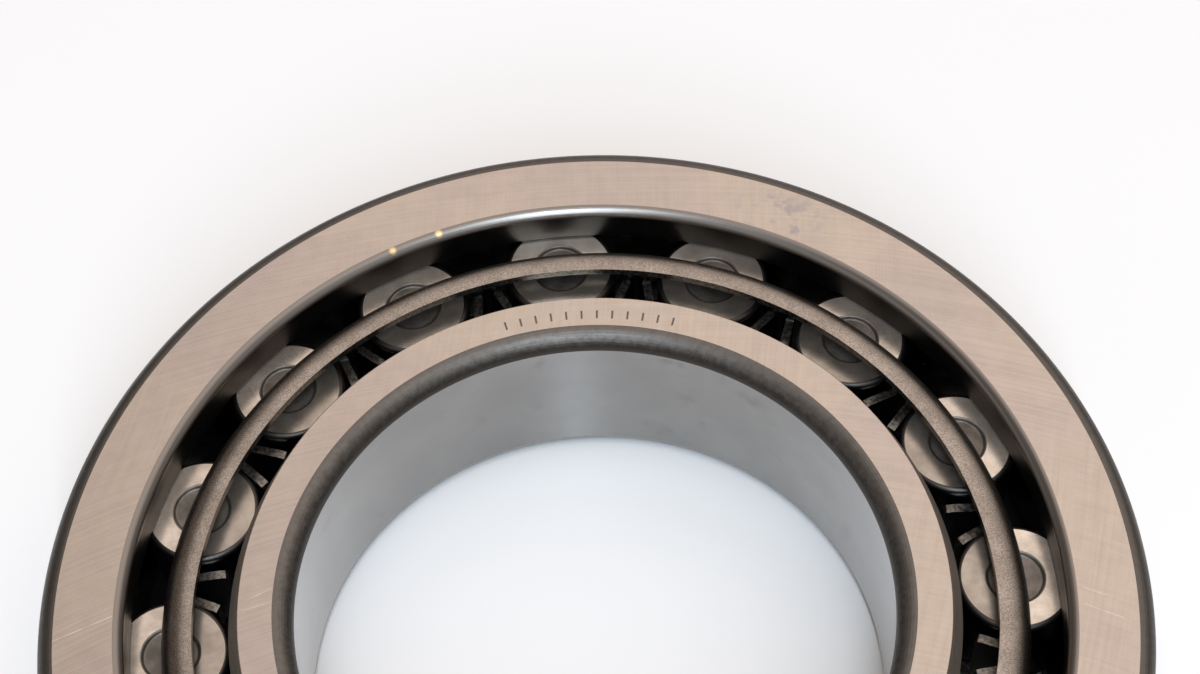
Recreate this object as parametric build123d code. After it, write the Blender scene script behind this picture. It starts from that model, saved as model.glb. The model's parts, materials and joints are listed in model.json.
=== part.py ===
from build123d import *
import math
import os

# Cylindrical roller bearing, all dimensions in millimetres.
# The origin is the bearing's centre and +Z is its axis of rotation.

# Boundary dimensions
BORE_RADIUS = 32.5
OUTSIDE_RADIUS = 60.0
WIDTH = 23.0
HALF_WIDTH = WIDTH / 2
BORE_CORNER = 2.15
OUTSIDE_CORNER = 1.9

# Rollers
ROLLER_COUNT = 16
ROLLER_RADIUS = 6.5
ROLLER_LENGTH = 13.0
ROLLER_CORNER = 0.55
ROLLER_RECESS_RADIUS = 3.2
ROLLER_RECESS_DEPTH = 0.4
PITCH_RADIUS = 46.25
PITCH_ANGLE = 360 / ROLLER_COUNT
FIRST_ROLLER_ANGLE = 2.2

# Running clearances: roller to raceway, roller end to flange
RACEWAY_CLEARANCE = 0.04
FLANGE_CLEARANCE = 0.06

# Outer ring: flanged on both sides of the raceway
OUTER_RACEWAY_RADIUS = PITCH_RADIUS + ROLLER_RADIUS + RACEWAY_CLEARANCE
FLANGE_BORE_RADIUS = 50.62
FLANGE_OUTSIDE_EDGE = 1.1
FLANGE_INSIDE_EDGE = 0.3
FLANGE_FACE_Z = ROLLER_LENGTH / 2 + FLANGE_CLEARANCE
UNDERCUT_WIDTH = 0.9
UNDERCUT_DEPTH = 0.35

# Inner ring: plain raceway with a lead-in bevel at each end
INNER_RACEWAY_RADIUS = PITCH_RADIUS - ROLLER_RADIUS - RACEWAY_CLEARANCE
BEVEL_FACE_RADIUS = 38.4
BEVEL_LENGTH = 3.0
BEVEL_EDGE = 0.15

# Cage: one piece of pressed sheet, a band whose two rims turn inwards
SHEET = 1.0
CAGE_OUTSIDE_RADIUS = 47.1
CAGE_HALF_HEIGHT = 9.9
RIM_INNER_RADIUS = 43.5
RIM_BEND = 2.6
RIM_EDGE = 0.2

# Windows: one for each roller, with a wider relief beside the folded bars
POCKET_SIDE_CLEARANCE = 0.35
POCKET_END_CLEARANCE = 0.25
WINDOW_HALF_WIDTH = ROLLER_RADIUS + POCKET_SIDE_CLEARANCE
WINDOW_HALF_LENGTH = ROLLER_LENGTH / 2 + POCKET_END_CLEARANCE
WINDOW_CORNER = 0.8
RELIEF_HALF_WIDTH = 7.45
RELIEF_HALF_LENGTH = 5.6
RELIEF_CORNER = 0.3

# Bars: the sheet between two rollers is folded into a hairpin whose legs cradle them.
# The tip's offset is from the bar's middle plane to the middle of the sheet.
BAR_RIDGE_RADIUS = 46.9
BAR_OVERLAP = 0.1
WING_HALF_LENGTH = 4.7
WING_TIP_RADIUS = 41.45
WING_TIP_OFFSET = 2.23
WING_SPLAY = 14.6

# How far a cutting solid runs past what it cuts
CUT_MARGIN = 1.0


def lathe(sketch):
    """Revolve a half section drawn as (radius, height) about the bearing's axis."""
    return revolve(Plane.XZ * sketch, Axis.Z)


def corners(sketch, radius, height):
    """The sketch's corners at this radius, above and below the middle plane."""
    return [
        vertex
        for vertex in sketch.vertices()
        if abs(vertex.X - radius) < 1e-6 and abs(abs(vertex.Y) - height) < 1e-6
    ]


def mirrored_outline(upper_points):
    """Close an outline from its upper half, given as (radius, height) points."""
    lower_points = [(radius, -height) for radius, height in reversed(upper_points)]
    return Polygon(*upper_points, *lower_points, align=None)


def outer_ring():
    """The ring with a raceway sunk between two flanges, ground undercuts in its corners."""
    raceway = OUTER_RACEWAY_RADIUS
    undercut_end = FLANGE_FACE_Z - UNDERCUT_WIDTH
    section = mirrored_outline(
        [
            (raceway, undercut_end),
            (raceway + UNDERCUT_DEPTH, undercut_end + UNDERCUT_DEPTH),
            (raceway + UNDERCUT_DEPTH, FLANGE_FACE_Z),
            (FLANGE_BORE_RADIUS, FLANGE_FACE_Z),
            (FLANGE_BORE_RADIUS, HALF_WIDTH),
            (OUTSIDE_RADIUS, HALF_WIDTH),
        ]
    )
    section = fillet(corners(section, OUTSIDE_RADIUS, HALF_WIDTH), OUTSIDE_CORNER)
    section = fillet(corners(section, FLANGE_BORE_RADIUS, HALF_WIDTH), FLANGE_OUTSIDE_EDGE)
    section = chamfer(corners(section, FLANGE_BORE_RADIUS, FLANGE_FACE_Z), FLANGE_INSIDE_EDGE)
    return lathe(section)


def inner_ring():
    """The plain ring, whose raceway runs out to a bevel at each side face."""
    raceway_end = HALF_WIDTH - BEVEL_LENGTH
    section = mirrored_outline(
        [
            (INNER_RACEWAY_RADIUS, raceway_end),
            (BEVEL_FACE_RADIUS, HALF_WIDTH),
            (BORE_RADIUS, HALF_WIDTH),
        ]
    )
    section = fillet(corners(section, BORE_RADIUS, HALF_WIDTH), BORE_CORNER)
    section = fillet(corners(section, BEVEL_FACE_RADIUS, HALF_WIDTH), BEVEL_EDGE)
    return lathe(section)


def roller():
    """One roller on the bearing's axis, with its corners rounded and its ends recessed."""
    half_length = ROLLER_LENGTH / 2
    recess_floor = half_length - ROLLER_RECESS_DEPTH
    recess_floor_radius = ROLLER_RECESS_RADIUS - ROLLER_RECESS_DEPTH / 2
    section = mirrored_outline(
        [
            (ROLLER_RADIUS, half_length),
            (ROLLER_RECESS_RADIUS, half_length),
            (recess_floor_radius, recess_floor),
            (0, recess_floor),
        ]
    )
    section = fillet(corners(section, ROLLER_RADIUS, half_length), ROLLER_CORNER)
    return lathe(section)


def cage_shell():
    """The pressed shell before it is pierced: a band whose two rims turn inwards."""
    band_inner_radius = CAGE_OUTSIDE_RADIUS - SHEET
    rim_inner_height = CAGE_HALF_HEIGHT - SHEET
    section = mirrored_outline(
        [
            (band_inner_radius, rim_inner_height),
            (RIM_INNER_RADIUS, rim_inner_height),
            (RIM_INNER_RADIUS, CAGE_HALF_HEIGHT),
            (CAGE_OUTSIDE_RADIUS, CAGE_HALF_HEIGHT),
        ]
    )
    section = fillet(corners(section, CAGE_OUTSIDE_RADIUS, CAGE_HALF_HEIGHT), RIM_BEND)
    section = fillet(corners(section, band_inner_radius, rim_inner_height), RIM_BEND - SHEET)
    section = fillet(corners(section, RIM_INNER_RADIUS, CAGE_HALF_HEIGHT), RIM_EDGE)
    return lathe(section)


def window():
    """The hole pierced for one roller, wider along the wings so that they can fold."""
    outline = Rectangle(2 * WINDOW_HALF_WIDTH, 2 * WINDOW_HALF_LENGTH)
    outline = fillet(outline.vertices(), WINDOW_CORNER)
    relief = Rectangle(2 * RELIEF_HALF_WIDTH, 2 * RELIEF_HALF_LENGTH)
    relief = fillet(relief.vertices(), RELIEF_CORNER)
    radial = Plane(origin=(RIM_INNER_RADIUS, 0, 0), x_dir=(0, 1, 0), z_dir=(1, 0, 0))
    depth = CAGE_OUTSIDE_RADIUS - RIM_INNER_RADIUS + CUT_MARGIN
    return extrude(radial * (outline + relief), depth)


def folded_bar():
    """One bar on +X: the sheet folded over a ridge, with a leg down to each roller."""
    splay = math.radians(WING_SPLAY)
    ridge = BAR_RIDGE_RADIUS - SHEET / 2
    reach = WING_TIP_RADIUS * math.sin(splay) + WING_TIP_OFFSET * math.cos(splay)
    bend = (reach - ridge * math.sin(splay)) / (1 - math.sin(splay))
    bend_centre = ridge - bend
    tip = (WING_TIP_RADIUS, WING_TIP_OFFSET)
    root = (bend_centre + bend * math.sin(splay), bend * math.cos(splay))
    leg = Line(tip, root)
    fold = ThreePointArc(root, (ridge, 0), (root[0], -root[1]))
    section = trace(leg + fold + mirror(leg, Plane.XZ), SHEET)
    return extrude(section, WING_HALF_LENGTH, both=True)


def cage():
    """The shell, pierced for the rollers, with its bars folded along the rollers."""
    folded_length = 2 * (WING_HALF_LENGTH - BAR_OVERLAP)
    folded_stretch = Cylinder(CAGE_OUTSIDE_RADIUS + CUT_MARGIN, folded_length)
    hole = window()
    bar = folded_bar()
    holes = [Rot(0, 0, angle) * hole for angle in roller_angles()]
    bars = [Rot(0, 0, angle + PITCH_ANGLE / 2) * bar for angle in roller_angles()]
    return cage_shell() - folded_stretch - holes + bars


def roller_angles():
    """Where the rollers stand round the pitch circle at rest, in degrees from +X."""
    return [FIRST_ROLLER_ANGLE + PITCH_ANGLE * index for index in range(ROLLER_COUNT)]


def write(name, solid):
    """Save one piece under its node's name."""
    solid.label = name
    export_step(solid, os.path.join("parts", name + ".step"))


os.makedirs("parts", exist_ok=True)
write("outer_ring", outer_ring())
write("inner_ring", inner_ring())
write("cage", cage())
for index, angle in enumerate(roller_angles(), start=1):
    write(f"roller_{index:02d}", Rot(0, 0, angle) * Pos(PITCH_RADIUS, 0, 0) * roller())
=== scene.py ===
import json
import math

import bmesh
import bpy
from mathutils import Matrix, Vector


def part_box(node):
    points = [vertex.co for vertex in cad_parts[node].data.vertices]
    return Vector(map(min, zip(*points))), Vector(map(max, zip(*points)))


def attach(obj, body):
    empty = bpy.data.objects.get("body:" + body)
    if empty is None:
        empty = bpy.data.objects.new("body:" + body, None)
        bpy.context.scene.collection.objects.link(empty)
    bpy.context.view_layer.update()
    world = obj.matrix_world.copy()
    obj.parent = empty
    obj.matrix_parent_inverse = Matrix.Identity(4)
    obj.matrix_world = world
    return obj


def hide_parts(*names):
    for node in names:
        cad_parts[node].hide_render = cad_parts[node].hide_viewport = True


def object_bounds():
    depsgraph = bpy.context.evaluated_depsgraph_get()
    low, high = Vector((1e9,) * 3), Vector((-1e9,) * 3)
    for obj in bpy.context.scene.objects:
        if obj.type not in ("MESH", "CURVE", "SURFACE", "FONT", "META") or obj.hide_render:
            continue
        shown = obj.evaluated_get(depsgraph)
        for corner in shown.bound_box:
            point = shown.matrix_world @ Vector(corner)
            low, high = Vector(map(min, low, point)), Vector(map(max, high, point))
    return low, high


# The looks of an open cylindrical roller bearing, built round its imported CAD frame.
# Every length is in metres, with +Z along the bearing's axis of rotation.

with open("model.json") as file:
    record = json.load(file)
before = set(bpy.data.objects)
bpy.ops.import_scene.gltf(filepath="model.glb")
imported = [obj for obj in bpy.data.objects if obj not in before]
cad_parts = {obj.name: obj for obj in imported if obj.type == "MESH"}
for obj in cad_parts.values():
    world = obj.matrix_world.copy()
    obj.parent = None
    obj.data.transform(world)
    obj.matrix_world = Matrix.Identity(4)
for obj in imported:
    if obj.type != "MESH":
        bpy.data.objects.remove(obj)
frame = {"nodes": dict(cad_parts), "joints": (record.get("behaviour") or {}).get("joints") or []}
cad_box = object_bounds()

MM = 0.001
ON_AXIS = Vector((0, 0, 0))


def reach(node, centre=ON_AXIS):
    """The nearest and farthest distance of a node's corners from a vertical axis through centre."""
    corners = frame["nodes"][node].data.vertices
    distances = [(corner.co - centre).xy.length for corner in corners]
    return min(distances), max(distances)


# Sizes read from the frame
FLANGE_BORE, OUTSIDE = reach("outer_ring")
BORE, INNER_RACEWAY = reach("inner_ring")
HALF_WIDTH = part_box("outer_ring")[1].z
CAGE_OUTSIDE = reach("cage")[1]
CAGE_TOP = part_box("cage")[1].z
ROLLER_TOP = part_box("roller_01")[1].z
ROLLER_CENTRES = {
    joint["child"]: Vector(joint["pos_m"])
    for joint in frame["joints"]
    if joint["child"].startswith("roller_")
}
PITCH_RADIUS = ROLLER_CENTRES["roller_01"].xy.length
FIRST_ROLLER_ANGLE = math.atan2(ROLLER_CENTRES["roller_01"].y, ROLLER_CENTRES["roller_01"].x)
PITCH_ANGLE = 2 * math.pi / len(ROLLER_CENTRES)
ROLLER_RADIUS = reach("roller_01", ROLLER_CENTRES["roller_01"])[1]

# Running clearances: roller to raceway, roller end to flange, roller end to the cage's window
RACEWAY_CLEARANCE = 0.04 * MM
FLANGE_CLEARANCE = 0.06 * MM
WINDOW_CLEARANCE = 0.25 * MM

# Rings
OUTSIDE_CORNER = 1.9 * MM
FLANGE_EDGE = 1.1 * MM
FLANGE_INNER_EDGE = 0.3 * MM
FLANGE_FACE = ROLLER_TOP + FLANGE_CLEARANCE
OUTER_RACEWAY = PITCH_RADIUS + ROLLER_RADIUS + RACEWAY_CLEARANCE
UNDERCUT_WIDTH = 0.9 * MM
UNDERCUT_DEPTH = 0.35 * MM
BORE_CORNER = 2.15 * MM
BEVEL_FACE = 38.4 * MM
BEVEL_LENGTH = 3.0 * MM
BEVEL_EDGE = 0.15 * MM

# Rollers
ROLLER_CORNER = 0.55 * MM
RECESS_RADIUS = 3.2 * MM
RECESS_DEPTH = 0.4 * MM
RECESS_EDGE = 0.25 * MM

# Cage
SHEET = 1.0 * MM
RIM_INNER = 43.5 * MM
RIM_BEND = 2.6 * MM
WINDOW_END = ROLLER_TOP + WINDOW_CLEARANCE
WINDOW_CORNER = 0.8 * MM
WEB_HALF_WIDTH = 2.26 * MM
WING_END = 4.7 * MM
WING_TIP = 41.45 * MM
WING_TIP_OFFSET = 2.23 * MM
WING_SPLAY = math.radians(14.6)
BAR_RIDGE = 46.9 * MM
SHEARED_EDGE = 0.14 * MM

# Painted shade darkens the cage's sheet nearer the middle plane than the first height, and is gone from
# it farther than the second
SHADE_PAINTED_BELOW = 7.4 * MM
SHADE_ENDS_ABOVE = 9.2 * MM

# The cage's rims carry a painted highlight and the roller ends painted shade nearer the bearing's
# axis than the first distance, easing off to none farther than the second
NEAR_LOOK = RIM_INNER + 0.3 * MM
FAR_LOOK = RIM_INNER + 1.9 * MM

# How closely the round shapes are divided
RING_SEGMENTS = 384
ROLLER_SEGMENTS = 96
CORNER_STEPS = 10

# A side of a turned section that is longer than LONG_SIDE has an extra point this close to each
# of its ends
EDGE_SUPPORT = 0.02 * MM
LONG_SIDE = 8 * EDGE_SUPPORT

# A mesh is creased where it turns by more than this
CREASE_ANGLE = math.radians(35)

# Most of a noise texture's values lie between these
NOISE_LOW = 0.3
NOISE_HIGH = 0.7


# ---------------------------------------------------------------- shaders

# The Mix node's colour sockets share their names with its other kinds', so they go by number
FIRST_COLOUR = 6
SECOND_COLOUR = 7
MIXED_COLOUR = 2


class Nodes:
    """A node tree, with short calls for the nodes that the finishes and the room share."""

    def __init__(self, tree, coordinates):
        self.tree = tree
        self.position = self.node("ShaderNodeTexCoord").outputs[coordinates]
        self.x, self.y, self.z = self.node("ShaderNodeSeparateXYZ", {0: self.position}).outputs

    def node(self, kind, inputs=None, **settings):
        made = self.tree.nodes.new(kind)
        for key, value in settings.items():
            setattr(made, key, value)
        for key, value in (inputs or {}).items():
            self.join(made.inputs[key], value)
        return made

    def join(self, socket, value):
        if isinstance(value, bpy.types.NodeSocket):
            self.tree.links.new(value, socket)
        else:
            socket.default_value = value

    def math(self, operation, first, second=0.0):
        made = self.node("ShaderNodeMath", {0: first, 1: second}, operation=operation)
        return made.outputs[0]

    def ramp(self, value, low, high, to_low=0.0, to_high=1.0):
        """Value from low to high, eased and kept within to_low and to_high."""
        made = self.node(
            "ShaderNodeMapRange",
            {"Value": value, "From Min": low, "From Max": high, "To Min": to_low, "To Max": to_high},
            interpolation_type="SMOOTHSTEP",
        )
        return made.outputs["Result"]

    def vary(self, noise, to_low=0.0, to_high=1.0):
        """Spread a noise value's usual range over to_low and to_high."""
        return self.ramp(noise, NOISE_LOW, NOISE_HIGH, to_low, to_high)

    def length(self, x, y):
        """The length of (x, y)."""
        squares = self.math("ADD", self.math("POWER", x, 2.0), self.math("POWER", y, 2.0))
        return self.math("SQRT", squares)

    def vector(self, x, y, z=0.0):
        return self.node("ShaderNodeCombineXYZ", {0: x, 1: y, 2: z}).outputs[0]

    def noise(self, vector, scale, detail=3.0, roughness=0.55):
        made = self.node(
            "ShaderNodeTexNoise",
            {"Vector": vector, "Scale": scale, "Detail": detail, "Roughness": roughness},
        )
        return made.outputs["Fac"]

    def blend(self, factor, first, second, mode="MIX"):
        """Mix two colours, each an (r, g, b) or a socket."""
        made = self.node("ShaderNodeMix", {"Factor": factor}, data_type="RGBA", blend_type=mode)
        for index, colour in ((FIRST_COLOUR, first), (SECOND_COLOUR, second)):
            opaque = colour if isinstance(colour, bpy.types.NodeSocket) else (*colour, 1)
            self.join(made.inputs[index], opaque)
        return made.outputs[MIXED_COLOUR]


class Shader(Nodes):
    """One metal's material, with the patterns and marks that its finish may carry."""

    def __init__(self, name):
        self.material = bpy.data.materials.new(name)
        self.material.use_nodes = True
        super().__init__(self.material.node_tree, "Object")
        self.surface = self.tree.nodes["Principled BSDF"]
        self.surface.inputs["Metallic"].default_value = 1.0

    def set(self, **inputs):
        """Set the surface's sockets by name, with underscores for spaces."""
        for key, value in inputs.items():
            self.join(self.surface.inputs[key.replace("_", " ")], value)

    def shade(self, colour, amount):
        """Darken or lighten a colour by a factor."""
        return self.blend(1.0, colour, self.vector(amount, amount, amount), "MULTIPLY")

    def radius(self):
        """Distance from the bearing's axis."""
        return self.length(self.x, self.y)

    def angle(self):
        return self.math("ARCTAN2", self.y, self.x)

    def offset(self, place):
        """How far the surface lies from an (x, y) place, along x and along y."""
        return self.math("SUBTRACT", self.x, place[0]), self.math("SUBTRACT", self.y, place[1])

    def arcs(self, centre, pitch, run):
        """Fine streaks along arcs about a far centre, as a grinding wheel leaves them.

        They lie about pitch apart, and each runs on for about run.
        """
        across, along = self.offset(centre)
        turn = self.math("ARCTAN2", along, across)
        stretched = self.vector(
            self.math("MULTIPLY", self.length(across, along), 1 / pitch),
            self.math("MULTIPLY", turn, math.hypot(*centre) / run),
        )
        return self.noise(stretched, 1.0, 3.0, 0.6)

    def spread(self, centre, near, far):
        """1 within near of a point on the upper face, easing to 0 at far."""
        return self.upper(self.ramp(self.length(*self.offset(centre)), near, far, 1.0, 0.0))

    def upper(self, mask):
        """Keep a mark to the upper half of a piece."""
        return self.math("MULTIPLY", mask, self.math("GREATER_THAN", self.z, 0.0))

    def scratch(self, start, end, width):
        """1 along a straight scratch on the upper face, from start to end, easing to 0 beside it."""
        run = Vector(end) - Vector(start)
        x, y = self.offset(start)
        dot = self.math("ADD", self.math("MULTIPLY", x, run.x), self.math("MULTIPLY", y, run.y))
        share = self.math("DIVIDE", dot, run.length_squared)
        share = self.math("MINIMUM", self.math("MAXIMUM", share, 0.0), 1.0)
        aside_x = self.math("SUBTRACT", x, self.math("MULTIPLY", share, run.x))
        aside_y = self.math("SUBTRACT", y, self.math("MULTIPLY", share, run.y))
        return self.upper(self.ramp(self.length(aside_x, aside_y), width / 4, width, 1.0, 0.0))

    def ticks(self, count, middle, pitch, radius, length, width):
        """1 on a row of evenly spaced radial ticks on the upper face, easing to 0 beside each."""
        turn = self.math("DIVIDE", self.math("SUBTRACT", self.angle(), middle), pitch)
        beside = self.math("ABSOLUTE", self.math("SUBTRACT", self.math("FRACT", turn), 0.5))
        half_share = width / radius / pitch / 2
        marks = self.ramp(beside, half_share / 2, half_share, 1.0, 0.0)
        off_circle = self.math("ABSOLUTE", self.math("SUBTRACT", self.radius(), radius))
        in_row = self.math("LESS_THAN", self.math("ABSOLUTE", turn), count / 2)
        in_band = self.math("LESS_THAN", off_circle, length / 2)
        return self.upper(self.math("MULTIPLY", marks, self.math("MULTIPLY", in_row, in_band)))

    def bump(self, height, distance, strength=1.0):
        made = self.node("ShaderNodeBump", {"Height": height, "Strength": strength, "Distance": distance})
        self.join(self.surface.inputs["Normal"], made.outputs["Normal"])


SCRATCH_WIDTH = 0.1 * MM


def ground_face(name, scratches, smudge=None, etched=None):
    """A side face: ground flat, with the wheel's long arcs crossing each other, and a few marks.

    A scratch is (start, end, depth). A smudge is the middle of a stained patch, and etched is what
    Shader.ticks takes.
    """
    shader = Shader(name)
    first = shader.arcs(centre=(0.0, -120 * MM), pitch=0.36 * MM, run=24 * MM)
    second = shader.arcs(centre=(-160 * MM, 60 * MM), pitch=0.5 * MM, run=24 * MM)
    share = shader.ramp(shader.noise(shader.position, 30.0, 1.0, 0.5), 0.45, 0.6, 0.0, 0.6)
    second = shader.math("MULTIPLY", second, share)
    first = shader.math("MULTIPLY", first, shader.math("SUBTRACT", 1.0, share))
    hatch = shader.math("ADD", second, first)
    tint = shader.noise(shader.position, 38.0, 3.0, 0.5)
    mottle = shader.noise(shader.position, 420.0, 4.0, 0.6)
    colour = shader.blend(shader.ramp(tint, 0.4, 0.6), (0.53, 0.463, 0.432), (0.57, 0.502, 0.442))
    streaks = shader.ramp(hatch, 0.35, 0.65, -0.06, 0.06)
    colour = shader.shade(colour, shader.math("ADD", streaks, shader.vary(mottle, 0.965, 1.025)))
    if smudge:
        stained = shader.ramp(mottle, 0.48, 0.62)
        patch = shader.math("MULTIPLY", shader.spread(smudge, near=2 * MM, far=8 * MM), stained)
        colour = shader.blend(patch, colour, (0.42, 0.39, 0.39))
    roughness = shader.vary(hatch, 0.25, 0.33)
    for start, end, depth in scratches:
        mark = shader.scratch(start, end, SCRATCH_WIDTH)
        mark = shader.math("MULTIPLY", mark, shader.ramp(mottle, 0.35, 0.6, 0.3 * depth, depth))
        colour = shader.blend(mark, colour, (0.88, 0.84, 0.80))
        roughness = shader.math("ADD", roughness, shader.math("MULTIPLY", mark, 0.15))
    if etched:
        marks = shader.ticks(**etched)
        colour = shader.blend(marks, colour, (0.17, 0.15, 0.135))
        roughness = shader.math("ADD", roughness, shader.math("MULTIPLY", marks, 0.2))
    shader.set(Base_Color=colour, Roughness=roughness)
    shader.bump(hatch, 0.003 * MM)
    return shader.material


def outer_face():
    scratches = [
        ((-58.0 * MM, -2.0 * MM), (-51.8 * MM, 0.6 * MM), 0.8),
        ((52.0 * MM, -4.4 * MM), (56.0 * MM, -6.4 * MM), 0.45),
        ((52.4 * MM, -2.6 * MM), (54.6 * MM, -3.6 * MM), 0.35),
    ]
    return ground_face("outer_ground_face", scratches, smudge=(24.0 * MM, 47.5 * MM))


def inner_face():
    """The inner ring's upper face carries a row of plain etched ticks, at the back at rest."""
    scratches = [
        ((-37.5 * MM, 1.6 * MM), (-34.8 * MM, 2.8 * MM), 0.6),
        ((-37.6 * MM, 0.4 * MM), (-35.0 * MM, 1.2 * MM), 0.45),
    ]
    etched = {
        "count": 12,
        "middle": math.radians(88),
        "pitch": math.radians(2.8),
        "radius": 36.1 * MM,
        "length": 1.1 * MM,
        "width": 0.3 * MM,
    }
    return ground_face("inner_ground_face", scratches, etched=etched)


def round_lines(shader, across, drift, detail):
    """Fine lines that follow a ring round. Across is counted in lines, and drift in changes a radian."""
    along = shader.math("MULTIPLY", shader.angle(), drift)
    return shader.noise(shader.vector(across, along), 1.0, detail, 0.6)


def turned_lines(shader):
    """The lines that a lathe leaves, over any slope of a ring's profile."""
    outwards = shader.math("MULTIPLY", shader.radius(), 9000.0)
    upwards = shader.math("MULTIPLY", shader.z, 6500.0)
    return round_lines(shader, shader.math("ADD", outwards, upwards), 3.0, 2.0)


def ground_lines(shader, count, drift):
    """The lines that a grinding wheel leaves round a cylinder, this many to the metre."""
    return round_lines(shader, shader.math("MULTIPLY", shader.z, count), drift, 3.0)


def turned_corner(name, dark, scuffed_and_highlit, roughness, low=None):
    """A corner or bevel: turned, darkened by the furnace, and lighter beside the ground face with scuffs
    and a painted highlight.

    On the bearing's lower half it may have a colour of its own; the bore corner's is painted light, where
    the bore meets the floor.
    """
    shader = Shader(name)
    lines = turned_lines(shader)
    ragged = shader.math("MULTIPLY", shader.noise(shader.position, 1300.0, 5.0, 0.75), 2.4 * MM)
    height = shader.math("ADD", shader.math("ABSOLUTE", shader.z), ragged)
    # Scuffs and a painted highlight: lighter in a ragged band beside the ground face
    scuff_and_highlight_band = shader.ramp(height, HALF_WIDTH - 0.4 * MM, HALF_WIDTH + 1.5 * MM)
    colour = shader.blend(scuff_and_highlight_band, dark, scuffed_and_highlit)
    # The lower half's own colour, which the bore corner uses as painted light
    if low:
        colour = shader.blend(shader.math("LESS_THAN", shader.z, 0.0), colour, low)
    shader.set(Base_Color=colour, Roughness=shader.vary(lines, roughness - 0.06, roughness + 0.06))
    shader.bump(lines, 0.008 * MM)
    return shader.material


def flange_edge():
    """The rounded edge of a flange: turned smooth and left bright, with two painted straw-tinted glints.
    """
    shader = Shader("flange_edge")
    lines = turned_lines(shader)
    colour = shader.blend(lines, (0.24, 0.22, 0.205), (0.31, 0.29, 0.27))
    # Two painted highlights: small warm glints painted onto the edge in place of a lamp's reflection
    for degrees in (108.0, 114.5):
        turn = math.radians(degrees)
        glint_spot = Vector((math.cos(turn), math.sin(turn))) * (FLANGE_BORE + 0.7 * MM)
        glint = shader.spread(glint_spot, near=0.1 * MM, far=0.6 * MM)
        colour = shader.blend(glint, colour, (1.0, 0.72, 0.36))
    shader.set(Base_Color=colour, Roughness=shader.vary(lines, 0.27, 0.35))
    shader.bump(lines, 0.004 * MM)
    return shader.material


def flange_bore():
    """A flange's bore: turned, and painted dark in patches as painted shade beside the rollers."""
    shader = Shader("flange_bore")
    lines = turned_lines(shader)
    shade_patches = shader.noise(shader.position, 160.0, 3.0, 0.6)
    # Painted shade: a near-black colour for the bore, which lies in the shade beside the rollers
    colour = shader.blend(shader.vary(shade_patches), (0.034, 0.03, 0.027), (0.056, 0.05, 0.045))
    shader.set(Base_Color=colour, Roughness=shader.vary(lines, 0.36, 0.46))
    shader.bump(lines, 0.003 * MM)
    return shader.material


def ground_bore():
    """The bore: ground round and round, so its fine lines draw reflections out along the axis.

    A thin film of oil lies over it, and mirrors most where it is seen at a slant.
    """
    shader = Shader("ground_bore")
    lines = ground_lines(shader, 7000.0, 4.0)
    cloud = shader.noise(shader.position, 70.0, 4.0, 0.6)
    smears = shader.noise(shader.position, 130.0, 5.0, 0.65)
    colour = shader.blend(shader.ramp(cloud, 0.35, 0.7), (0.222, 0.212, 0.202), (0.272, 0.26, 0.247))
    colour = shader.blend(shader.ramp(smears, 0.55, 0.72, 0.0, 0.85), colour, (0.165, 0.149, 0.134))
    shader.set(Base_Color=colour, Roughness=shader.vary(lines, 0.15, 0.21))
    shader.set(Anisotropic=0.95, Anisotropic_Rotation=0.25, Coat_Weight=0.8, Coat_Roughness=0.15)
    shader.bump(lines, 0.003 * MM)
    return shader.material


def ground_rim():
    """The outside diameter: ground all round."""
    shader = Shader("ground_rim")
    lines = ground_lines(shader, 6000.0, 6.0)
    colour = shader.blend(lines, (0.42, 0.40, 0.38), (0.50, 0.475, 0.455))
    shader.set(Base_Color=colour, Roughness=shader.vary(lines, 0.2, 0.3))
    shader.bump(lines, 0.004 * MM)
    return shader.material


def honed_raceway():
    """Raceways and the rollers' rolling faces: honed smooth, and painted dark in patches as painted shade
    inside the bearing.
    """
    shader = Shader("honed_raceway")
    shade_patches = shader.noise(shader.position, 150.0, 3.0, 0.55)
    # Painted shade: a near-black colour for the honed steel, which lies in the bearing's shade
    colour = shader.blend(shader.vary(shade_patches), (0.10, 0.098, 0.095), (0.15, 0.147, 0.143))
    shader.set(Base_Color=colour, Roughness=shader.vary(shade_patches, 0.16, 0.22))
    return shader.material


def roller_end():
    """A roller's flat end: ground, with wiped stains, and darker towards the inner ring with painted
    shade from the cage's rim.
    """
    shader = Shader("roller_end")
    hatch = shader.arcs(centre=(0.0, -120 * MM), pitch=0.14 * MM, run=5 * MM)
    stains = shader.noise(shader.position, 260.0, 4.0, 0.65)
    colour = shader.blend(shader.vary(stains), (0.53, 0.463, 0.395), (0.83, 0.739, 0.641))
    # Painted shade: the end darkens nearer the bearing's axis, under the cage's rim
    colour = shader.shade(colour, shader.ramp(shader.radius(), NEAR_LOOK, FAR_LOOK, 0.62, 1.0))
    shader.set(Base_Color=colour, Roughness=shader.vary(hatch, 0.2, 0.25), Metallic=0.86)
    shader.bump(hatch, 0.002 * MM)
    return shader.material


def recess_steel():
    """The recess in a roller's end: left as it was formed, dull and stained."""
    shader = Shader("recess_steel")
    grain = shader.noise(shader.position, 2600.0, 3.0, 0.6)
    stains = shader.noise(shader.position, 420.0, 3.0, 0.6)
    colour = shader.blend(shader.vary(stains), (0.17, 0.152, 0.13), (0.30, 0.265, 0.232))
    shader.set(Base_Color=colour, Roughness=0.55)
    shader.bump(grain, 0.02 * MM, 0.6)
    return shader.material


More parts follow.
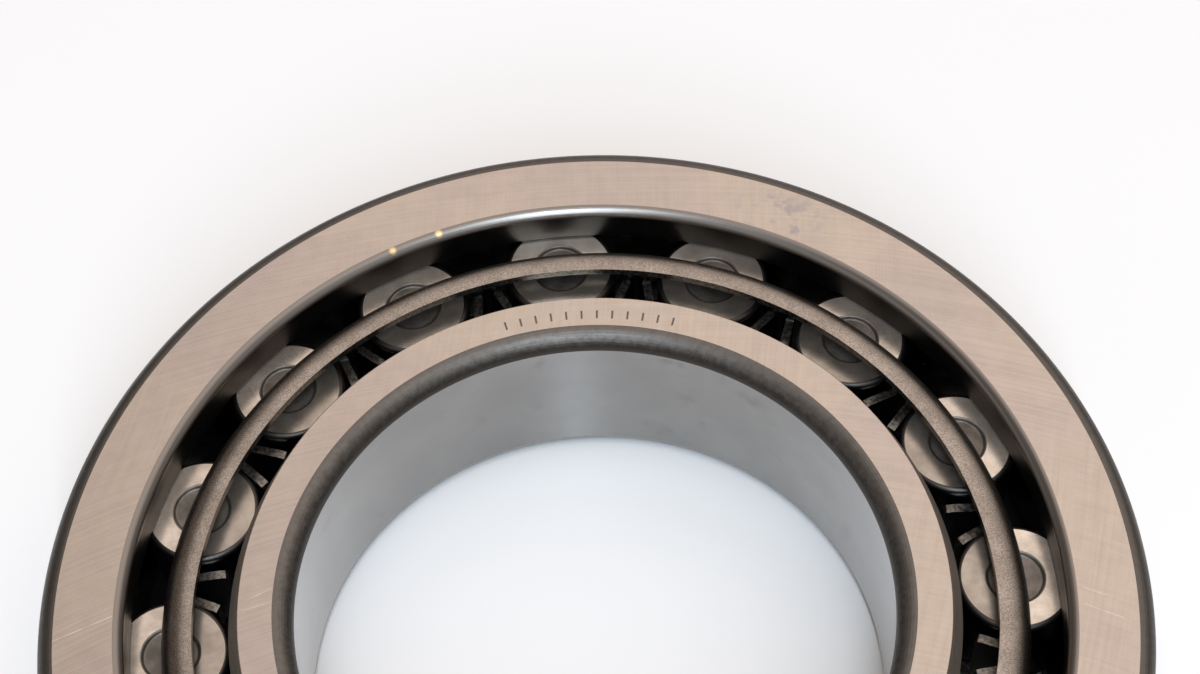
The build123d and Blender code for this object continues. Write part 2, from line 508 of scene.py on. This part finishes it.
def cage_sheet():
    """The cage's faces: pressed sheet with a fine grain, with a painted highlight at the rims' inner
    edges.

    Between the rims it is painted dark, as painted shade.
    """
    shader = Shader("cage_sheet")
    grain = shader.noise(shader.position, 6500.0, 2.0, 0.6)
    cloud = shader.noise(shader.position, 300.0, 3.0, 0.55)
    colour = shader.blend(shader.vary(cloud), (0.245, 0.215, 0.19), (0.31, 0.275, 0.245))
    # Painted highlight: the sheet is lightened nearer the axis, at the rims' inner edges
    painted_edge_highlight = shader.ramp(shader.radius(), NEAR_LOOK, FAR_LOOK, 1.35, 1.0)
    speckled = shader.ramp(grain, 0.35, 0.65, 0.72, 1.3)
    colour = shader.shade(colour, shader.math("MULTIPLY", speckled, painted_edge_highlight))
    # Painted shade: the sheet between the rims is painted near black, where the rims and rollers shade it
    unshaded = shader.ramp(shader.math("ABSOLUTE", shader.z), SHADE_PAINTED_BELOW, SHADE_ENDS_ABOVE)
    colour = shader.blend(unshaded, (0.06, 0.058, 0.055), colour)
    shader.set(Base_Color=colour, Roughness=shader.vary(grain, 0.29, 0.38))
    shader.bump(grain, 0.02 * MM, 0.5)
    return shader.material


def sheared_sheet():
    """The cage's cut edges: torn and bright where the punch went through."""
    shader = Shader("sheared_sheet")
    tears = shader.noise(shader.position, 2500.0, 3.0, 0.7)
    colour = shader.blend(shader.ramp(tears, 0.35, 0.65), (0.13, 0.12, 0.108), (0.36, 0.335, 0.30))
    shader.set(Base_Color=colour, Roughness=shader.vary(tears, 0.3, 0.45))
    shader.bump(tears, 0.04 * MM, 0.8)
    return shader.material


def outside_corner():
    return turned_corner(
        "outside_corner", dark=(0.08, 0.073, 0.067), scuffed_and_highlit=(0.15, 0.14, 0.13), roughness=0.42
    )


def bore_corner():
    return turned_corner(
        "bore_corner",
        dark=(0.072, 0.062, 0.054),
        scuffed_and_highlit=(0.19, 0.176, 0.162),
        roughness=0.48,
        # Painted light: a lighter lower half, which lifts the shade where the bore meets the floor
        low=(0.34, 0.335, 0.33),
    )


def bevel():
    return turned_corner(
        "bevel", dark=(0.33, 0.28, 0.24), scuffed_and_highlit=(0.36, 0.31, 0.27), roughness=0.62
    )


def roller_corner():
    return turned_corner(
        "roller_corner", dark=(0.07, 0.064, 0.059), scuffed_and_highlit=(0.1, 0.093, 0.088), roughness=0.4
    )


FINISHES = {
    "outer face": outer_face(),
    "inner face": inner_face(),
    "outside corner": outside_corner(),
    "bore corner": bore_corner(),
    "bevel": bevel(),
    "roller corner": roller_corner(),
    "flange edge": flange_edge(),
    "flange bore": flange_bore(),
    "bore": ground_bore(),
    "rim": ground_rim(),
    "raceway": honed_raceway(),
    "end": roller_end(),
    "recess": recess_steel(),
    "sheet": cage_sheet(),
    "sheared": sheared_sheet(),
}


# ---------------------------------------------------------------- turned pieces


def corner_arc(before, corner, after, rounding):
    """The points that round a corner off, from its first side to its second."""
    to_before = (before - corner).normalized()
    to_after = (after - corner).normalized()
    half_angle = to_before.angle(to_after) / 2
    centre = corner + (to_before + to_after).normalized() * rounding / math.sin(half_angle)
    start = corner + to_before * rounding / math.tan(half_angle) - centre
    sweep = start.angle_signed(corner + to_after * rounding / math.tan(half_angle) - centre)
    steps = range(CORNER_STEPS + 1)
    return [centre + Matrix.Rotation(-sweep * step / CORNER_STEPS, 2) @ start for step in steps]


def outline(corners):
    """A closed half section, as points that each carry the finish of the side that leaves them.

    A corner is (radius, height, rounding, finish of the rounding, finish of the next side).
    """
    places = [Vector(corner[:2]) for corner in corners]
    points = []
    for index, (_, _, rounding, rounded_finish, finish) in enumerate(corners):
        corner = places[index]
        if rounding:
            after = places[(index + 1) % len(places)]
            arc = corner_arc(places[index - 1], corner, after, rounding)
            points += [(point, rounded_finish) for point in arc[:-1]]
            points.append((arc[-1], finish))
        else:
            points.append((corner, finish))
    return supported(points)


def supported(points):
    """Add a point close to both ends of each long side, so that flat faces shade flat.

    A side that lies on the axis turns into nothing, and needs none.
    """
    made = []
    for index, (start, finish) in enumerate(points):
        end = points[(index + 1) % len(points)][0]
        side = end - start
        made.append((start, finish))
        if side.length > LONG_SIDE and start.x + end.x > 0:
            inset = side.normalized() * EDGE_SUPPORT
            made += [(start + inset, finish), (end - inset, finish)]
    return made


def mirrored(upper, middle_finish):
    """A whole section from its upper half; the side that crosses the middle has its own finish."""
    lower = []
    for index in range(len(upper) - 1, -1, -1):
        radius, height, rounding, rounded_finish, _ = upper[index]
        following = upper[index - 1][4] if index else middle_finish
        lower.append((radius, -height, rounding, rounded_finish, following))
    return upper + lower


def lathe(name, points, segments, centre=ON_AXIS):
    """Turn an outline of (radius, height) points round a vertical axis through centre."""
    finishes = list(dict.fromkeys(finish for _, finish in points))
    shape = bmesh.new()
    columns = []
    for place, _ in points:
        if place.x < EDGE_SUPPORT:
            columns.append([shape.verts.new(centre + Vector((0, 0, place.y)))] * segments)
            continue
        turns = (2 * math.pi * step / segments for step in range(segments))
        spots = (Vector((place.x * math.cos(turn), place.x * math.sin(turn), place.y)) for turn in turns)
        columns.append([shape.verts.new(centre + spot) for spot in spots])
    for index, (_, finish) in enumerate(points):
        near, far = columns[index], columns[(index + 1) % len(columns)]
        for step in range(segments):
            following = (step + 1) % segments
            ring = dict.fromkeys((near[step], near[following], far[following], far[step]))
            if len(ring) > 2:
                shape.faces.new(ring).material_index = finishes.index(finish)
    return finished(name, shape, finishes)


def finished(name, shape, finishes):
    """Make the object from its bmesh, smooth shaded and creased where it turns sharply."""
    bmesh.ops.recalc_face_normals(shape, faces=shape.faces)
    mesh = bpy.data.meshes.new(name)
    shape.to_mesh(mesh)
    shape.free()
    mesh.shade_smooth()
    mesh.set_sharp_from_angle(angle=CREASE_ANGLE)
    for finish in finishes:
        mesh.materials.append(FINISHES[finish])
    piece = bpy.data.objects.new(name, mesh)
    bpy.context.scene.collection.objects.link(piece)
    return piece


def stand_in(piece, node):
    """The piece is shown in the CAD node's place, and rides on the node's body."""
    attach(piece, node)
    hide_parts(node)


def outer_ring():
    undercut = FLANGE_FACE - UNDERCUT_WIDTH
    upper = [
        (OUTER_RACEWAY, undercut, 0, None, "flange bore"),
        (OUTER_RACEWAY + UNDERCUT_DEPTH, undercut + UNDERCUT_DEPTH, 0, None, "flange bore"),
        (OUTER_RACEWAY + UNDERCUT_DEPTH, FLANGE_FACE, 0, None, "flange bore"),
        (FLANGE_BORE, FLANGE_FACE, FLANGE_INNER_EDGE, "flange bore", "flange bore"),
        (FLANGE_BORE, HALF_WIDTH, FLANGE_EDGE, "flange edge", "outer face"),
        (OUTSIDE, HALF_WIDTH, OUTSIDE_CORNER, "outside corner", "rim"),
    ]
    piece = lathe("outer_ring_steel", outline(mirrored(upper, "raceway")), RING_SEGMENTS)
    stand_in(piece, "outer_ring")


def inner_ring():
    upper = [
        (INNER_RACEWAY, HALF_WIDTH - BEVEL_LENGTH, 0, None, "bevel"),
        (BEVEL_FACE, HALF_WIDTH, BEVEL_EDGE, "inner face", "inner face"),
        (BORE, HALF_WIDTH, BORE_CORNER, "bore corner", "bore"),
    ]
    piece = lathe("inner_ring_steel", outline(mirrored(upper, "raceway")), RING_SEGMENTS)
    stand_in(piece, "inner_ring")


def roller(node, centre):
    floor = ROLLER_TOP - RECESS_DEPTH
    upper = [
        (0.0, floor, 0, None, "recess"),
        (RECESS_RADIUS - RECESS_DEPTH / 2, floor, RECESS_EDGE, "recess", "recess"),
        (RECESS_RADIUS, ROLLER_TOP, RECESS_EDGE, "recess", "end"),
        (ROLLER_RADIUS, ROLLER_TOP, ROLLER_CORNER, "roller corner", "raceway"),
    ]
    section = outline(mirrored(upper, "recess"))
    piece = lathe(node + "_steel", section, ROLLER_SEGMENTS, centre)
    stand_in(piece, node)


# ---------------------------------------------------------------- the cage

# The sheet's middle line: flat at the band's radius, and in a bar folded to an arc under its ridge,
# which each wing leaves straight, splayed from the bar's middle plane. FOLD_HALF is half the arc.
BAND = CAGE_OUTSIDE - SHEET / 2
RIDGE = BAR_RIDGE - SHEET / 2
FOLD_REACH = WING_TIP * math.sin(WING_SPLAY) + WING_TIP_OFFSET * math.cos(WING_SPLAY)
FOLD_RADIUS = (FOLD_REACH - RIDGE * math.sin(WING_SPLAY)) / (1 - math.sin(WING_SPLAY))
FOLD_ANGLE = math.pi / 2 - WING_SPLAY
FOLD_HALF = FOLD_RADIUS * FOLD_ANGLE
WING_ROOT = RIDGE - FOLD_RADIUS + FOLD_RADIUS * math.sin(WING_SPLAY)
WING_LENGTH = (WING_ROOT - WING_TIP) / math.cos(WING_SPLAY)
NECK_TOP = 5.7 * MM
NECK_FOOT = 5.1 * MM
WING_TIP_ROUNDING = 0.6 * MM

# How the sheet is divided
BAR_COLUMNS = 8
WING_COLUMNS = 7
WINDOW_COLUMNS = 7
BEND_ROWS = 12
WINDOW_CORNER_ROWS = 5
NECK_ROWS = 10
WING_ROWS = 8

# Grid points of the cage that lie closer together than this are joined into one
SAME_POINT = 0.002 * MM

# Where the thickened sheet turns by more than this, it is at a sheared edge
SHEARED_ANGLE = math.radians(50)


def flat_spot(across, radius, height, bar_angle):
    """A point on a hoop of this radius, at a distance along the band from a bar's middle."""
    angle = bar_angle + across / BAND
    return Vector((radius * math.cos(angle), radius * math.sin(angle), height))


def folded_spot(across, height, bar_angle):
    """The same point of the sheet once the bar is folded over its ridge."""
    side = math.copysign(1, across)
    bent = min(abs(across), FOLD_HALF) / FOLD_RADIUS
    leg = max(abs(across) - FOLD_HALF, 0)
    radius = RIDGE - FOLD_RADIUS + FOLD_RADIUS * math.cos(bent) - leg * math.cos(WING_SPLAY)
    offset = side * (FOLD_RADIUS * math.sin(bent) + leg * math.sin(WING_SPLAY))
    return Matrix.Rotation(bar_angle, 3, "Z") @ Vector((radius, offset, height))


def ease(value, low, high):
    share = min(max((value - low) / (high - low), 0), 1)
    return share * share * (3 - 2 * share)


def bar_half_width(height):
    """Half the width of the flat sheet between two windows, at a height above the middle."""
    neck = FOLD_HALF + (WEB_HALF_WIDTH - FOLD_HALF) * ease(height, NECK_FOOT, NECK_TOP)
    into_corner = max(height - (WINDOW_END - WINDOW_CORNER), 0)
    return neck + WINDOW_CORNER - math.sqrt(max(WINDOW_CORNER**2 - into_corner**2, 0))


def rim_path():
    """The sheet's middle line from a window's end, over the bend, to the rim's inner edge."""
    bend = RIM_BEND - SHEET / 2
    bend_height = CAGE_TOP - RIM_BEND
    bend_centre = CAGE_OUTSIDE - RIM_BEND
    path = [(BAND, WINDOW_END), (BAND, (WINDOW_END + bend_height) / 2)]
    for step in range(BEND_ROWS + 1):
        angle = math.pi / 2 * step / BEND_ROWS
        path.append((bend_centre + bend * math.cos(angle), bend_height + bend * math.sin(angle)))
    flat = bend_centre - RIM_INNER
    path += [(bend_centre - flat * share, CAGE_TOP - SHEET / 2) for share in (0.5, 1)]
    return path


def add_grid(shape, rows):
    """Fill a grid of points with faces."""
    grid = [[shape.verts.new(point) for point in row] for row in rows]
    for lower, upper in zip(grid, grid[1:]):
        for left in range(len(lower) - 1):
            shape.faces.new((lower[left], lower[left + 1], upper[left + 1], upper[left]))


def rim_grid(bar_angle, side):
    """One pitch of a rim, from the middle of one window to the middle of the next."""
    edge = bar_half_width(WINDOW_END)
    half_pitch = PITCH_ANGLE * BAND / 2
    bar = [edge * step / BAR_COLUMNS for step in range(-BAR_COLUMNS, BAR_COLUMNS + 1)]
    half_window = half_pitch - edge
    gap = [edge + half_window * step / WINDOW_COLUMNS for step in range(1, WINDOW_COLUMNS + 1)]
    columns = [-across for across in reversed(gap)] + bar + gap
    return [
        [flat_spot(across, radius, side * height, bar_angle) for across in columns]
        for radius, height in rim_path()
    ]


def neck_grid(bar_angle, side):
    """The sheet between the rim and the fold, which bends from flat to folded."""
    turns = [math.pi / 2 * step / WINDOW_CORNER_ROWS for step in range(WINDOW_CORNER_ROWS + 1)]
    heights = [WINDOW_END - WINDOW_CORNER * (1 - math.cos(turn)) for turn in turns]
    neck = WING_END - heights[-1]
    heights += [heights[-1] + neck * step / NECK_ROWS for step in range(1, NECK_ROWS + 1)]
    rows = []
    for height in heights:
        folded = 1 - ease(height, WING_END, NECK_TOP)
        half_width = bar_half_width(height)
        row = []
        for step in range(-BAR_COLUMNS, BAR_COLUMNS + 1):
            across = half_width * step / BAR_COLUMNS
            flat = flat_spot(across, BAND, side * height, bar_angle)
            row.append(flat.lerp(folded_spot(across, side * height, bar_angle), folded))
        rows.append(row)
    return rows


def bar_grid(bar_angle):
    """The folded stretch of a bar, with the wing on each side of it."""
    bar = [FOLD_HALF * step / BAR_COLUMNS for step in range(BAR_COLUMNS + 1)]
    wing = [FOLD_HALF + WING_LENGTH * ease(step, 0, WING_COLUMNS) for step in range(1, WING_COLUMNS + 1)]
    half = bar + wing
    columns = [-across for across in reversed(half[1:])] + half
    tip = FOLD_HALF + WING_LENGTH
    rows = []
    for step in range(-WING_ROWS, WING_ROWS + 1):
        row = []
        for across in columns:
            into_tip = max(abs(across) - (tip - WING_TIP_ROUNDING), 0)
            drop = WING_TIP_ROUNDING - math.sqrt(WING_TIP_ROUNDING**2 - into_tip**2)
            height = (WING_END - drop) * math.sin(math.pi / 2 * step / WING_ROWS)
            row.append(folded_spot(across, height, bar_angle))
        rows.append(row)
    return rows


def cage():
    """The cage's sheet as one surface, given its thickness and rounded cut edges."""
    shape = bmesh.new()
    for index in range(len(ROLLER_CENTRES)):
        bar_angle = FIRST_ROLLER_ANGLE + PITCH_ANGLE * (index + 0.5)
        for side in (1, -1):
            add_grid(shape, rim_grid(bar_angle, side))
            add_grid(shape, neck_grid(bar_angle, side))
        add_grid(shape, bar_grid(bar_angle))
    bmesh.ops.remove_doubles(shape, verts=shape.verts, dist=SAME_POINT)
    piece = finished("cage_sheet_steel", shape, ["sheet", "sheared"])
    thickness = piece.modifiers.new("thickness", "SOLIDIFY")
    thickness.thickness = SHEET
    thickness.offset = 0
    thickness.use_even_offset = True
    thickness.material_offset_rim = 1
    edges = piece.modifiers.new("edges", "BEVEL")
    edges.width = SHEARED_EDGE
    edges.segments = 2
    edges.limit_method = "ANGLE"
    edges.angle_limit = SHEARED_ANGLE
    edges.harden_normals = True
    stand_in(piece, "cage")


# ---------------------------------------------------------------- surroundings

FLOOR_HALF_SIDE = 2.5
FLOOR_COLOUR = (0.9, 0.9, 0.9)
FLOOR_ROUGHNESS = 0.28


def floor():
    """A plain pale floor under the bearing."""
    shape = bmesh.new()
    bmesh.ops.create_grid(shape, x_segments=4, y_segments=4, size=FLOOR_HALF_SIDE)
    mesh = bpy.data.meshes.new("floor")
    shape.to_mesh(mesh)
    shape.free()
    piece = bpy.data.objects.new("floor", mesh)
    piece.location.z = cad_box[0].z
    bpy.context.scene.collection.objects.link(piece)
    material = bpy.data.materials.new("pale_floor")
    material.use_nodes = True
    surface = material.node_tree.nodes["Principled BSDF"]
    surface.inputs["Base Color"].default_value = (*FLOOR_COLOUR, 1)
    surface.inputs["Roughness"].default_value = FLOOR_ROUGHNESS
    mesh.materials.append(material)


def area_light(name, place, size, power, colour, in_reflections=True):
    """A soft rectangular light that faces the bearing, and may be left out of its reflections."""
    light = bpy.data.lights.new(name, "AREA")
    light.shape = "RECTANGLE"
    light.size, light.size_y = size
    light.energy = power
    light.color = colour
    lamp = bpy.data.objects.new(name, light)
    lamp.location = place
    lamp.rotation_euler = Vector(place).to_track_quat("Z", "Y").to_euler()
    lamp.visible_glossy = in_reflections
    bpy.context.scene.collection.objects.link(lamp)


def strip():
    """A tall narrow lamp, cool and in front. The bore draws its reflection out to a streak."""
    area_light(
        "strip", place=(0.028, -0.56, 0.71), size=(0.026, 0.84), power=5.4, colour=(0.72, 0.86, 1.0)
    )


def ceiling():
    """Soft light from straight above, which brightens the floor and isn't mirrored by the metal."""
    area_light(
        "overhead",
        place=(0.0, 0.0, 1.2),
        size=(0.5, 0.5),
        power=2.8,
        colour=(1.0, 0.99, 0.98),
        in_reflections=False,
    )


DIM_SKY = (0.145, 0.118, 0.097)
BRIGHT_SKY = (1.12, 0.99, 0.91)
WALL = (0.5, 0.487, 0.475)


def room():
    """Soft light from overhead, dim on -X and leaning to +Y, over walls that rise towards -Y."""
    world = bpy.data.worlds.new("room")
    world.use_nodes = True
    nodes = Nodes(world.node_tree, "Generated")
    lean = nodes.math("ADD", nodes.z, nodes.math("MULTIPLY", nodes.y, 0.4))
    dimming = nodes.ramp(nodes.x, -0.48, -0.03, 0.12, 1.0)
    overhead = nodes.math("MULTIPLY", nodes.ramp(lean, 0.38, 0.95), dimming)
    colour = nodes.blend(overhead, DIM_SKY, BRIGHT_SKY)
    slope = nodes.math("ADD", nodes.z, nodes.math("MULTIPLY", nodes.y, 0.8))
    colour = nodes.blend(nodes.ramp(slope, 0.15, 0.65, 1.0, 0.0), colour, WALL)
    nodes.join(nodes.tree.nodes["Background"].inputs["Color"], colour)
    bpy.context.scene.world = world


# The camera stands in front of the bearing and looks down past its centre, slightly tilted.
CAMERA_PLACE = Vector((0.0, -131.04, 261.13)) * MM
CAMERA_AIM = Vector((2.34, 32.9, 11.5)) * MM
CAMERA_ROLL = math.radians(-2.53)
CAMERA_LENS = 78.39
SENSOR_WIDTH = 36.0


def camera():
    lens = bpy.data.cameras.new("camera")
    lens.lens = CAMERA_LENS
    lens.sensor_width = SENSOR_WIDTH
    eye = bpy.data.objects.new("camera", lens)
    level = (CAMERA_PLACE - CAMERA_AIM).to_track_quat("Z", "Y").to_matrix()
    turned = level @ Matrix.Rotation(CAMERA_ROLL, 3, "Z")
    eye.location = CAMERA_PLACE
    eye.rotation_euler = turned.to_euler()
    bpy.context.scene.collection.objects.link(eye)
    bpy.context.scene.camera = eye


outer_ring()
inner_ring()
for node, centre in ROLLER_CENTRES.items():
    roller(node, centre)
cage()
floor()
room()
strip()
ceiling()
camera()

bpy.context.scene.view_settings.view_transform = "Standard"
